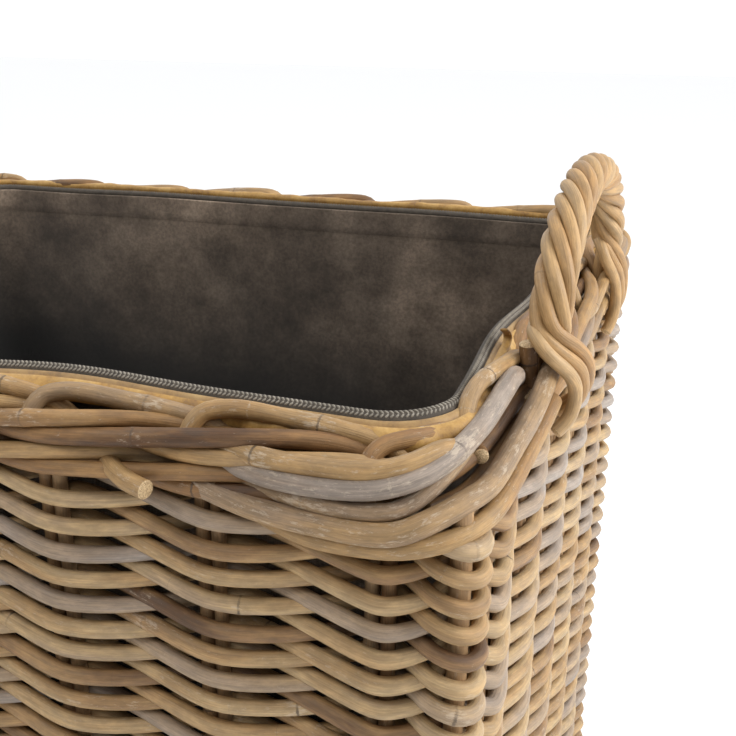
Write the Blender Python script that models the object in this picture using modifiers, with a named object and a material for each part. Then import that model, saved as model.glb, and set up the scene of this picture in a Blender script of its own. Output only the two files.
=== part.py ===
"""A lined wicker log basket: stakes, woven wall, border, rope handles, base and cloth liner.

Metres, +Z up, +X along the basket's long side. The basket stands on z = 0, centred on the origin.
Each sub-part is one named object in the collection "wicker_log_basket".
"""

import math

import bmesh
import bpy
from mathutils import Vector

MM = 0.001

# Driving dimensions, measured at the rim.
RIM_LENGTH = 508 * MM
RIM_WIDTH = 426 * MM
RIM_HEIGHT = 400 * MM
ROD_RADIUS = 3.4 * MM
STAKE_PITCH = 70 * MM
GAP = 0.4 * MM
WALL_LEAN = 0.022
WELD_DISTANCE = 0.01 * MM
FLAT_SIDED_ANGLE = 35
ROUND_ROD_ANGLE = 60

HALF_LENGTH = RIM_LENGTH / 2
HALF_WIDTH = RIM_WIDTH / 2
OUTER_CORNER = 24 * MM
BASE_CORNER = 12 * MM
WALL_THICKNESS = 6 * ROD_RADIUS
WALL_MIDDLE = WALL_THICKNESS / 2
CORNER_STEPS = 4

# The basket stands on its foot ring, and the stakes stand on the ring.
FOOT_HEIGHT = 14 * MM
FOOT_WIDTH = 30 * MM
STAKE_BOTTOM = FOOT_HEIGHT + GAP
STAKES_ON_LONG_SIDE = 7
STAKES_ON_SHORT_SIDE = 6
PAIR_SPREAD = 0.9 * ROD_RADIUS
CORNER_STAKE_RADIUS = 4.2 * MM

# The woven wall: two runs of weaving with a band of waling above them, then the border on top.
WEAVE_BOTTOM = FOOT_HEIGHT + GAP
WEAVE_TOP = RIM_HEIGHT - 16 * MM
WALING_HEIGHT = 34 * MM
STAKE_TOP = WEAVE_TOP
BORDER_BOTTOM = WEAVE_TOP + GAP
BORDER_HEIGHT = 13 * MM
BORDER_THICKNESS = 25 * MM
BORDER_ROUNDING = 4.5 * MM
BORDER_EDGE_ANGLE = 40
BORDER_INNER_CORNER = 6 * MM

# The base inside the foot ring.
BASE_THICKNESS = 8 * MM
SLAT_COUNT = 3
SLAT_WIDTH = 26 * MM
SLAT_THICKNESS = 7 * MM
SLAT_END_CLEARANCE = 20 * MM

# The cloth liner and what finishes its edge.
STRIP_INSET = BORDER_THICKNESS + GAP
STRIP_THICKNESS = 1.2 * MM
STRIP_HEIGHT = 14 * MM
LINER_INSET = STRIP_INSET + STRIP_THICKNESS + GAP
LINER_THICKNESS = 2.0 * MM
LINER_CORNER = 18 * MM
LINER_BOTTOM = FOOT_HEIGHT + BASE_THICKNESS + SLAT_THICKNESS + 3 * GAP
HOLLOW_OVERSHOOT = 5 * MM
TAPE_HEIGHT = 5 * MM
TAPE_OVERLAP = 0.5 * MM
LINER_TOP = RIM_HEIGHT - TAPE_HEIGHT - GAP

# The rope handles, one on each short side.
STRANDS = 6
STRAND_RADIUS = 2.95 * MM
HELIX_RADIUS = 2.5 * STRAND_RADIUS
ROPE_RADIUS = HELIX_RADIUS + STRAND_RADIUS
HANDLE_HALF_SPAN = 92 * MM
HANDLE_SPRING_Z = RIM_HEIGHT - 9 * MM
HANDLE_TOP_Z = RIM_HEIGHT + 65 * MM
HANDLE_FOOT_CLEARANCE = 2.2 * MM
HANDLE_FOOT_Z = WEAVE_TOP + HANDLE_FOOT_CLEARANCE
HANDLE_INSET = 8 * MM
HANDLE_LEAN_OUT = 6 * MM
ROPE_TURN = 92 * MM
ARCH_STEPS = 34
LEG_CLEARANCE = ROPE_RADIUS + 1.5 * MM

HONEY = (0.56, 0.40, 0.22)
STRAW = (0.50, 0.38, 0.24)
GREY_RATTAN = (0.40, 0.32, 0.24)
PALE_HONEY = (0.61, 0.46, 0.27)
PLAIN_WOOD = (0.42, 0.29, 0.17)
DARK_CANVAS = (0.055, 0.045, 0.038)
GREY_TAPE = (0.16, 0.14, 0.12)
TAN_STRIP = (0.48, 0.30, 0.13)


def clear_scene():
    for old in list(bpy.data.objects):
        bpy.data.objects.remove(old, do_unlink=True)


def make_collection(name):
    collection = bpy.data.collections.new(name)
    bpy.context.scene.collection.children.link(collection)
    return collection


def make_material(name, color, roughness):
    material = bpy.data.materials.new(name)
    material.use_nodes = True
    shader = material.node_tree.nodes["Principled BSDF"]
    shader.inputs["Base Color"].default_value = (*color, 1)
    shader.inputs["Roughness"].default_value = roughness
    shader.inputs["Metallic"].default_value = 0
    return material


def arc(centre_x, centre_y, radius, start, stop, steps):
    """Points along an arc, from start to stop in degrees."""
    points = []
    for i in range(steps + 1):
        angle = math.radians(start + (stop - start) * i / steps)
        points.append((centre_x + radius * math.cos(angle), centre_y + radius * math.sin(angle)))
    return points


def corner_arcs(inset, radius, steps=CORNER_STEPS):
    """The four corners of the rim's outline moved inwards by inset, anticlockwise from the back right one."""
    x = HALF_LENGTH - inset - radius
    y = HALF_WIDTH - inset - radius
    return [
        arc(x, y, radius, 0, 90, steps),
        arc(-x, y, radius, 90, 180, steps),
        arc(-x, -y, radius, 180, 270, steps),
        arc(x, -y, radius, 270, 360, steps),
    ]


def rounded_rectangle(inset, radius):
    """The rim's outline moved inwards by inset, with corners of the given radius."""
    points = []
    for corner in corner_arcs(inset, radius):
        points += corner
    return points


def turn_and_move(points, centre_x, centre_y, turn):
    """Points drawn about the origin, turned by turn radians and moved to their centre."""
    placed = []
    for x, y in points:
        placed.append(
            (
                centre_x + x * math.cos(turn) - y * math.sin(turn),
                centre_y + x * math.sin(turn) + y * math.cos(turn),
            )
        )
    return placed


def rectangle(centre_x, centre_y, half_x, half_y, turn=0):
    """A rectangle's four corners, turned about its centre by turn radians."""
    corners = [(half_x, half_y), (-half_x, half_y), (-half_x, -half_y), (half_x, -half_y)]
    return turn_and_move(corners, centre_x, centre_y, turn)


def lean(point):
    """Where a point of the straight-walled basket goes when its walls lean outwards to the rim."""
    drop = (RIM_HEIGHT - point.z) * WALL_LEAN
    return Vector((point.x * (1 - drop / HALF_LENGTH), point.y * (1 - drop / HALF_WIDTH), point.z))


def curve_to_leaning_mesh(curve_object):
    """Turns a curve object into a welded mesh object whose points follow the walls' lean."""
    bpy.context.view_layer.update()
    evaluated = curve_object.evaluated_get(bpy.context.evaluated_depsgraph_get())
    mesh = bpy.data.meshes.new_from_object(evaluated)
    name = curve_object.name
    world = curve_object.matrix_world.copy()
    curve_data = curve_object.data
    bpy.data.objects.remove(curve_object)
    bpy.data.curves.remove(curve_data)
    mesh.name = name
    body = bmesh.new()
    body.from_mesh(mesh)
    bmesh.ops.remove_doubles(body, verts=body.verts, dist=WELD_DISTANCE)
    for vertex in body.verts:
        vertex.co = world.inverted() @ lean(world @ vertex.co)
    bmesh.ops.recalc_face_normals(body, faces=body.faces)
    body.to_mesh(mesh)
    body.free()
    mesh_object = bpy.data.objects.new(name, mesh)
    mesh_object.matrix_world = world
    return mesh_object


def finish_piece(piece, material, collection, smooth_angle=None):
    piece.data.materials.clear()
    piece.data.materials.append(material)
    collection.objects.link(piece)
    if smooth_angle is not None:
        piece.data.shade_smooth()
        piece.data.set_sharp_from_angle(angle=math.radians(smooth_angle))
    return piece


def make_extrusion(name, outlines, bottom, top, material, collection, smooth_angle=FLAT_SIDED_ANGLE):
    """A closed piece between two heights: the first outline is its edge, the others are holes."""
    curve = bpy.data.curves.new(name, "CURVE")
    curve.dimensions = "2D"
    curve.fill_mode = "BOTH"
    curve.extrude = (top - bottom) / 2
    for outline in outlines:
        spline = curve.splines.new("POLY")
        spline.points.add(len(outline) - 1)
        for point, (x, y) in zip(spline.points, outline):
            point.co = (x, y, 0, 1)
        spline.use_cyclic_u = True
    outline_object = bpy.data.objects.new(name, curve)
    outline_object.location = (0, 0, (top + bottom) / 2)
    bpy.context.scene.collection.objects.link(outline_object)
    return finish_piece(curve_to_leaning_mesh(outline_object), material, collection, smooth_angle)


def make_tube(name, points, radius, material, collection):
    """A round rod through the given points, with closed ends."""
    curve = bpy.data.curves.new(name, "CURVE")
    curve.dimensions = "3D"
    curve.bevel_depth = radius
    curve.bevel_resolution = 1
    curve.use_fill_caps = True
    curve.materials.append(material)
    spline = curve.splines.new("POLY")
    spline.points.add(len(points) - 1)
    for point, place in zip(spline.points, points):
        point.co = (*place, 1)
    tube = bpy.data.objects.new(name, curve)
    collection.objects.link(tube)
    return tube


def stake_places():
    """Name, x, y and turn of each stake pair, in the middle of the wall's thickness."""
    places = []
    side_y = HALF_WIDTH - WALL_MIDDLE
    for i in range(STAKES_ON_LONG_SIDE):
        x = (i - (STAKES_ON_LONG_SIDE - 1) / 2) * STAKE_PITCH
        places.append((f"stake_pair_front_{i + 1}", x, -side_y, 0))
        places.append((f"stake_pair_back_{i + 1}", x, side_y, 0))
    side_x = HALF_LENGTH - WALL_MIDDLE
    for i in range(STAKES_ON_SHORT_SIDE):
        y = (i - (STAKES_ON_SHORT_SIDE - 1) / 2) * STAKE_PITCH
        places.append((f"stake_pair_left_{i + 1}", -side_x, y, math.pi / 2))
        places.append((f"stake_pair_right_{i + 1}", side_x, y, math.pi / 2))
    return places


def corner_places():
    """Name, x, y and turn of each corner stake, on the corner's diagonal."""
    reach = (OUTER_CORNER - WALL_MIDDLE) * math.cos(math.pi / 4)
    x = HALF_LENGTH - OUTER_CORNER + reach
    y = HALF_WIDTH - OUTER_CORNER + reach
    return [
        ("corner_stake_back_right", x, y, math.pi / 4),
        ("corner_stake_back_left", -x, y, 3 * math.pi / 4),
        ("corner_stake_front_left", -x, -y, 5 * math.pi / 4),
        ("corner_stake_front_right", x, -y, 7 * math.pi / 4),
    ]


def pair_outline(centre_x, centre_y, turn):
    """Two rods side by side, pressed together so that they are one body."""
    meet = math.degrees(math.acos(PAIR_SPREAD / ROD_RADIUS))
    outline = arc(PAIR_SPREAD, 0, ROD_RADIUS, -180 + meet, 180 - meet, 7)
    outline += arc(-PAIR_SPREAD, 0, ROD_RADIUS, meet, 360 - meet, 7)[1:-1]
    return turn_and_move(outline, centre_x, centre_y, turn)


def build_stakes(collection):
    material = make_material("straw_rattan_stake", STRAW, 0.62)
    for name, x, y, turn in stake_places():
        make_extrusion(name, [pair_outline(x, y, turn)], STAKE_BOTTOM, STAKE_TOP, material, collection)
    for name, x, y, turn in corner_places():
        outline = arc(x, y, CORNER_STAKE_RADIUS, 0, 360, 8)[:-1]
        make_extrusion(
            name, [outline], STAKE_BOTTOM, STAKE_TOP, material, collection, ROUND_ROD_ANGLE
        )


def stake_channels():
    """The upright channels that the stakes stand in, as outlines for the woven wall."""
    half_pair = PAIR_SPREAD + ROD_RADIUS + GAP
    half_rod = ROD_RADIUS + GAP
    channels = []
    for _, x, y, turn in stake_places():
        channels.append(rectangle(x, y, half_pair, half_rod, turn))
    half_corner = CORNER_STAKE_RADIUS + GAP
    for _, x, y, turn in corner_places():
        channels.append(rectangle(x, y, half_corner, half_corner, turn))
    return channels


def build_woven_wall(collection):
    material = make_material("grey_honey_rattan_weave", GREY_RATTAN, 0.6)
    outside = rounded_rectangle(0, OUTER_CORNER)
    inside = rounded_rectangle(WALL_THICKNESS, OUTER_CORNER - WALL_THICKNESS)
    outlines = [outside, inside] + stake_channels()
    waling_bottom = WEAVE_TOP - WALING_HEIGHT
    half_way = (WEAVE_BOTTOM + waling_bottom) / 2
    make_extrusion("lower_weave", outlines, WEAVE_BOTTOM, half_way - GAP, material, collection)
    make_extrusion("upper_weave", outlines, half_way, waling_bottom - GAP, material, collection)
    make_extrusion("waling_band", outlines, waling_bottom, WEAVE_TOP, material, collection)


def border_outlines():
    """Name and outline of the border's four lengths, which stop beside the handles' legs."""
    outer = corner_arcs(0, OUTER_CORNER)
    inner = corner_arcs(BORDER_THICKNESS, BORDER_INNER_CORNER)
    outer_x = HALF_LENGTH
    inner_x = HALF_LENGTH - BORDER_THICKNESS
    leg_near = HANDLE_HALF_SPAN - LEG_CLEARANCE
    leg_far = HANDLE_HALF_SPAN + LEG_CLEARANCE
    back = [(outer_x, leg_far)] + outer[0] + outer[1] + [(-outer_x, leg_far), (-inner_x, leg_far)]
    back += inner[1][::-1] + inner[0][::-1] + [(inner_x, leg_far)]
    front = [(-outer_x, -leg_far)] + outer[2] + outer[3] + [(outer_x, -leg_far), (inner_x, -leg_far)]
    front += inner[3][::-1] + inner[2][::-1] + [(-inner_x, -leg_far)]
    middle_x = (outer_x + inner_x) / 2
    half_thickness = BORDER_THICKNESS / 2
    return [
        ("border_back", back),
        ("border_front", front),
        ("border_left", rectangle(-middle_x, 0, half_thickness, leg_near)),
        ("border_right", rectangle(middle_x, 0, half_thickness, leg_near)),
    ]


def build_border(collection):
    """The roll of bent-over rods along the rim, in four lengths between the handles' legs."""
    material = make_material("honey_rattan_border", HONEY, 0.55)
    for name, outline in border_outlines():
        roll = make_extrusion(
            name, [outline], BORDER_BOTTOM, BORDER_BOTTOM + BORDER_HEIGHT, material, collection
        )
        rounding = roll.modifiers.new("rounding", "BEVEL")
        rounding.width = BORDER_ROUNDING
        rounding.segments = 2
        rounding.limit_method = "ANGLE"
        rounding.angle_limit = math.radians(BORDER_EDGE_ANGLE)


def build_base(collection):
    """The foot ring, the woven base inside it and the slats across the base."""
    rattan = make_material("rattan_foot", GREY_RATTAN, 0.65)
    outside = rounded_rectangle(0, OUTER_CORNER)
    inside = rounded_rectangle(FOOT_WIDTH, BASE_CORNER)
    make_extrusion("foot_ring", [outside, inside], 0, FOOT_HEIGHT, rattan, collection)
    panel_outline = rounded_rectangle(WALL_THICKNESS + GAP, BASE_CORNER)
    panel_bottom = FOOT_HEIGHT + GAP
    panel_top = panel_bottom + BASE_THICKNESS
    make_extrusion("woven_base", [panel_outline], panel_bottom, panel_top, rattan, collection)
    wood = make_material("plain_wood_slat", PLAIN_WOOD, 0.6)
    slat_half = HALF_WIDTH - WALL_THICKNESS - SLAT_END_CLEARANCE
    slat_pitch = RIM_LENGTH / (SLAT_COUNT + 1)
    slat_bottom = panel_top + GAP
    for i in range(SLAT_COUNT):
        x = (i - (SLAT_COUNT - 1) / 2) * slat_pitch
        outline = rectangle(x, 0, SLAT_WIDTH / 2, slat_half)
        make_extrusion(
            f"base_slat_{i + 1}", [outline], slat_bottom, slat_bottom + SLAT_THICKNESS, wood, collection
        )


def build_liner(collection):
    """The cloth bag and the block that hollows it out from above."""
    canvas = make_material("dark_canvas", DARK_CANVAS, 0.9)
    outside = rounded_rectangle(LINER_INSET, LINER_CORNER)
    inside = rounded_rectangle(LINER_INSET + LINER_THICKNESS, LINER_CORNER - LINER_THICKNESS)
    bag = make_extrusion("liner", [outside], LINER_BOTTOM, LINER_TOP, canvas, collection)
    hollow_bottom = LINER_BOTTOM + LINER_THICKNESS
    hollow_top = LINER_TOP + HOLLOW_OVERSHOOT
    hollow = make_extrusion("liner_hollow", [inside], hollow_bottom, hollow_top, canvas, collection)
    return bag, hollow


def cut(target, cutter, cutters):
    """Cuts cutter out of target with a Boolean modifier, and keeps cutter as a hidden guide."""
    for collection in list(cutter.users_collection):
        collection.objects.unlink(cutter)
    cutters.objects.link(cutter)
    cutter.hide_render = True
    cutter.display_type = "WIRE"
    boolean = target.modifiers.new("hollow", "BOOLEAN")
    boolean.operation = "DIFFERENCE"
    boolean.solver = "EXACT"
    boolean.object = cutter


def build_liner_edge(collection):
    """The tape over the liner's top edge, and the strip between the liner and the border."""
    tape = make_material("grey_woven_tape", GREY_TAPE, 0.85)
    outside = rounded_rectangle(LINER_INSET - TAPE_OVERLAP, LINER_CORNER)
    inside_inset = LINER_INSET + LINER_THICKNESS + TAPE_OVERLAP
    inside = rounded_rectangle(inside_inset, LINER_CORNER - LINER_THICKNESS)
    make_extrusion("liner_tape", [outside, inside], LINER_TOP + GAP, RIM_HEIGHT, tape, collection)
    leather = make_material("tan_edging", TAN_STRIP, 0.6)
    strip_outside = rounded_rectangle(STRIP_INSET, LINER_CORNER)
    strip_inside = rounded_rectangle(STRIP_INSET + STRIP_THICKNESS, LINER_CORNER - STRIP_THICKNESS)
    strip_top = LINER_TOP - GAP
    make_extrusion(
        "edging_strip", [strip_outside, strip_inside], strip_top - STRIP_HEIGHT, strip_top, leather, collection
    )


def handle_middle():
    """Points along a handle's middle line: half an ellipse that springs from two short upright legs."""
    rise = HANDLE_TOP_Z - HANDLE_SPRING_Z
    middle = [Vector((0, -HANDLE_HALF_SPAN, HANDLE_FOOT_Z))]
    for i in range(ARCH_STEPS + 1):
        angle = math.pi * i / ARCH_STEPS
        height = math.sin(angle)
        lean_out = HANDLE_LEAN_OUT * height * height
        y = -HANDLE_HALF_SPAN * math.cos(angle)
        middle.append(Vector((lean_out, y, HANDLE_SPRING_Z + rise * height)))
    middle.append(Vector((0, HANDLE_HALF_SPAN, HANDLE_FOOT_Z)))
    return middle


def strand_points(side, start_angle):
    """One rope strand: a left-handed helix round the handle's middle line."""
    middle = handle_middle()
    points = []
    distance = 0
    for i, place in enumerate(middle):
        before = middle[max(i - 1, 0)]
        after = middle[min(i + 1, len(middle) - 1)]
        distance += (place - before).length
        direction = (after - before).normalized()
        across = Vector((1, 0, 0))
        normal = direction.cross(across).normalized()
        across = normal.cross(direction)
        angle = start_angle - 2 * math.pi * distance / ROPE_TURN
        offset = (across * math.cos(angle) + normal * math.sin(angle)) * HELIX_RADIUS
        point = place + offset
        points.append(Vector((HALF_LENGTH - HANDLE_INSET + point.x, point.y, point.z)))
    if side < 0:
        points = [Vector((-point.x, -point.y, point.z)) for point in points]
    return points


def build_handles(collection):
    material = make_material("pale_honey_handle", PALE_HONEY, 0.45)
    for side_name, side in (("left", -1), ("right", 1)):
        for strand in range(STRANDS):
            points = strand_points(side, 2 * math.pi * strand / STRANDS)
            name = f"handle_{side_name}_strand_{strand + 1}"
            make_tube(name, points, STRAND_RADIUS, material, collection)


def main():
    clear_scene()
    parts = make_collection("wicker_log_basket")
    cutters = make_collection("cutters")
    build_base(parts)
    build_stakes(parts)
    build_woven_wall(parts)
    build_border(parts)
    bag, hollow = build_liner(parts)
    cut(bag, hollow, cutters)
    build_liner_edge(parts)
    build_handles(parts)


main()
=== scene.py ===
import math
import random

import bpy
import numpy as np
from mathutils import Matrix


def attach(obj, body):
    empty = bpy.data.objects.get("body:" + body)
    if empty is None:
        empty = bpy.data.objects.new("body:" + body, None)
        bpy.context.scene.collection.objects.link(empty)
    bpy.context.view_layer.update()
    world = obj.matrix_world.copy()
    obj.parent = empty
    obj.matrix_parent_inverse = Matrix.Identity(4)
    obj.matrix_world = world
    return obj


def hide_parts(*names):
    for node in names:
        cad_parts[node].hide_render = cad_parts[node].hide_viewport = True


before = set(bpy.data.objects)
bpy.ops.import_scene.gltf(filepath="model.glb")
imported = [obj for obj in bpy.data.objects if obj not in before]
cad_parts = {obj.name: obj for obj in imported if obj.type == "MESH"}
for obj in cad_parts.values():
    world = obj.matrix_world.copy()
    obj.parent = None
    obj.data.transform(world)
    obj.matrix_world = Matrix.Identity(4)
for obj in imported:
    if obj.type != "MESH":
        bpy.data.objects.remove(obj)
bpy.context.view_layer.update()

# All lengths up to the stage are in millimetres; they become metres when a mesh is made.
MM = 0.001
HALF_LENGTH = 254.0
HALF_WIDTH = 213.0
RIM = 400.0
WALL_LEAN = 0.022
WALL_MIDDLE = 10.2
MIDDLE_CORNER = 13.8
# Signs of x and y at each corner, and the angle in degrees at which its arc begins.
CORNER_ARCS = ((1, -1, -90), (1, 1, 0), (-1, 1, 90), (-1, -1, 180))

STAKE_PITCH = 70.0
LONG_SIDE_PAIRS = 7
SHORT_SIDE_PAIRS = 6
STAKE_FOOT = 13.0
STAKE_DROP = 17
STAKE_RADIUS = 3.05
PAIR_HALF_SPACING = 3.15
CORNER_STAKE_RADIUS = 4.3

WEAVER_RADIUS = 3.7
WEAVE_DEPTH = 6.9
ROW_PITCH = 11.9
TOP_ROW = RIM - 45.0
ROW_COUNT = 29
ROWS_PER_PIECE = 5
CROSSING_LAG = 0.054
WEAVER_STARTS = (3, 5, 9, 13, 17, 19, 23, 27)

WALE_RADIUS = 3.6
WALE_DEPTH = 7.0
WALE_LIFT = 6.4
WALE_ROWS = (RIM - 14.0, RIM - 28.0)
# Where the waling stops, its rods go in and down over this share of the stakes' pitch.
WALE_ENDING = 0.55
WALE_END_DEPTH = 11.0
WALE_END_DROP = 13.0

ARCH_RADIUS = 3.7
# How much higher the border's arches lie than the plainest ones.
BORDER_LIFT = {"front": -1.9, "right": 0.4, "back": 3.0, "left": 0.9}

STRANDS = 6
STRAND_RADIUS = 3.15
ROPE_RADIUS = 6.7
ROPE_TURN = 92.0
HANDLE_HALF_SPAN = 92.0
HANDLE_INSET = 4.0
HANDLE_SPRING = RIM - 9.0
HANDLE_LEG = 14
HANDLE_TOP = RIM + 60.5
HANDLE_LEAN_OUT = 0.5

LINER_INSET = 27.0
LINER_CORNER = 31.0
LINER_FLOOR = 31.0
LINER_CLOTH = 1.4
STRIP_THICKNESS = 0.9
TAPE_INSET = LINER_INSET - 0.6

# A rod's ends: how much of its width the rounding leaves, and how far its edge and tip stand out.
CAP_SHARE = 0.8
CAP_EDGE = 0.5
CAP_TIP = 0.6
# Distances to a rod's nodes are kept up to this far.
NODE_REACH = 30.0

chance = random.Random(7)


# ---- the wall's path

def lengths_along(points):
    """Distance from the first point to each point of a curve."""
    steps = np.linalg.norm(np.diff(points, axis=0), axis=1)
    return np.concatenate(([0.0], np.cumsum(steps)))


def rounded_rectangle(half_x, half_y, corner, steps):
    """Points and outward directions at the arcs of a rounded rectangle, anticlockwise from the
    front right corner."""
    points, normals = [], []
    for sign_x, sign_y, start in CORNER_ARCS:
        for step in range(steps + 1):
            angle = math.radians(start + 90 * step / steps)
            normal = (math.cos(angle), math.sin(angle))
            points.append((sign_x * (half_x - corner) + corner * normal[0],
                           sign_y * (half_y - corner) + corner * normal[1]))
            normals.append(normal)
    return np.array(points), np.array(normals)


def wall_table():
    """Middle line of the wall in columns: distance along it, x, y and outward direction. It runs
    anticlockwise from the left end of the front wall, which is where the last arc ends."""
    points, normals = rounded_rectangle(
        HALF_LENGTH - WALL_MIDDLE, HALF_WIDTH - WALL_MIDDLE, MIDDLE_CORNER, 12
    )
    points = np.vstack((points[-1:], points))
    normals = np.vstack((normals[-1:], normals))
    return np.column_stack((lengths_along(points), points, normals))


WALL = wall_table()
WALL_LENGTH = WALL[-1, 0]


def lean(points):
    """The basket narrows towards its foot: x and y shrink with the distance below the rim."""
    points = np.array(points, dtype=float)
    drop = RIM - points[:, 2]
    points[:, 0] *= 1 - drop * WALL_LEAN / HALF_LENGTH
    points[:, 1] *= 1 - drop * WALL_LEAN / HALF_WIDTH
    return points


def on_wall(along, depth, height):
    """Points at a distance along the wall, a depth outwards of its middle line and a height."""
    along = np.mod(along, WALL_LENGTH)
    x, y, nx, ny = (np.interp(along, WALL[:, 0], WALL[:, k]) for k in (1, 2, 3, 4))
    size = np.hypot(nx, ny)
    flat = np.stack((x + depth * nx / size, y + depth * ny / size, height + 0 * x), axis=1)
    return lean(flat)


def stake_stations():
    """Distances along the wall of the 30 stake positions: 7 and 6 pairs a side, one at each corner."""
    straight_x = 2 * (HALF_LENGTH - WALL_MIDDLE - MIDDLE_CORNER)
    straight_y = 2 * (HALF_WIDTH - WALL_MIDDLE - MIDDLE_CORNER)
    stations = []
    begin = 0.0
    for straight, count in ((straight_x, LONG_SIDE_PAIRS), (straight_y, SHORT_SIDE_PAIRS)) * 2:
        first = begin + (straight - (count - 1) * STAKE_PITCH) / 2
        stations += [first + STAKE_PITCH * i for i in range(count)]
        quarter = math.pi / 2 * MIDDLE_CORNER
        stations.append(begin + straight + quarter / 2)
        begin += straight + quarter
    return np.array(stations)


STAKES = stake_stations()
STAKE_COUNT = len(STAKES)
CORNER_STAKES = (7, 14, 22, 29)
# Stakes whose bent-over ends are laid by hand round the front right corner, the stake numbers
# between which the waling is left out for them, and how far below the rim two of them stop.
HAND_LAID_STAKES = (6, 7, 8, 9)
OPEN_CORNER = (6.35, 9.1)
LOW_STAKE_DROPS = {7: 25, 8: 36}


def station(index):
    """Distance along the wall for a stake number that may lie between two stakes or past the last."""
    laps = np.floor(np.asarray(index, dtype=float) / STAKE_COUNT)
    numbers = np.arange(STAKE_COUNT + 1)
    distances = np.append(STAKES, STAKES[0] + WALL_LENGTH)
    return np.interp(index - laps * STAKE_COUNT, numbers, distances) + laps * WALL_LENGTH


# ---- curves and rods

def ease(share):
    """0 to 1, starting and ending gently."""
    return share * share * (3 - 2 * share)


def smooth_noise(count, step, seed):
    """A wandering value about 0, roughly -1 to 1, that changes over about step samples."""
    source = random.Random(seed)
    knots = [source.uniform(-1, 1) for _ in range(int(count / step) + 4)]
    places = np.arange(count) / step
    low = places.astype(int)
    share = ease(places - low)
    knots = np.array(knots)
    return knots[low] * (1 - share) + knots[low + 1] * share


def blur(points, spread):
    """Points smoothed along the curve, as a stiff rod does, with its two ends kept."""
    if spread <= 0:
        return points
    reach = int(3 * spread) + 1
    weights = np.exp(-0.5 * (np.arange(-reach, reach + 1) / spread) ** 2)
    weights /= weights.sum()
    padded = np.pad(points, ((reach, reach), (0, 0)), mode="reflect", reflect_type="odd")
    return np.stack([np.convolve(padded[:, k], weights, mode="valid") for k in range(3)], axis=1)


def through(points, spacing=3.5):
    """A smooth curve through the given points, sampled at an even spacing."""
    points = np.array(points, dtype=float)
    padded = np.vstack((2 * points[0] - points[1], points, 2 * points[-1] - points[-2]))
    pieces = []
    for i in range(len(points) - 1):
        p0, p1, p2, p3 = padded[i : i + 4]
        for t in np.linspace(0, 1, 9)[:-1]:
            pieces.append(
                0.5
                * (
                    2 * p1
                    + (p2 - p0) * t
                    + (2 * p0 - 5 * p1 + 4 * p2 - p3) * t * t
                    + (3 * p1 - p0 - 3 * p2 + p3) * t**3
                )
            )
    pieces.append(points[-1])
    return resample(np.array(pieces), spacing)


def resample(points, spacing):
    """The same curve with its points at an even spacing."""
    along = lengths_along(points)
    count = max(3, int(along[-1] / spacing) + 1)
    wanted = np.linspace(0, along[-1], count)
    return np.stack([np.interp(wanted, along, points[:, k]) for k in range(3)], axis=1)


def frames(points, reference=None):
    """Two directions across the curve at each point. Without a reference they are carried along it."""
    tangents = np.gradient(points, axis=0)
    tangents /= np.linalg.norm(tangents, axis=1)[:, None]
    if reference is not None:
        side = np.cross(tangents, np.array(reference, dtype=float))
        side /= np.linalg.norm(side, axis=1)[:, None]
        return side, np.cross(side, tangents)
    start = np.array((0.0, 0.0, 1.0)) if abs(tangents[0][2]) < 0.9 else np.array((1.0, 0.0, 0.0))
    side = np.cross(tangents[0], start)
    side /= np.linalg.norm(side)
    sides = []
    for tangent in tangents:
        side = side - tangent * np.dot(side, tangent)
        side /= np.linalg.norm(side)
        sides.append(side)
    sides = np.array(sides)
    return sides, np.cross(sides, tangents)


def ring_faces(rings, around, first=0):
    """Faces that join rings of points, each to the next. first is the first point's number."""
    faces = []
    for ring in range(rings - 1):
        a = first + ring * around
        for j in range(around):
            k = (j + 1) % around
            faces.append((a + j, a + k, a + around + k, a + around + j))
    return faces


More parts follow.
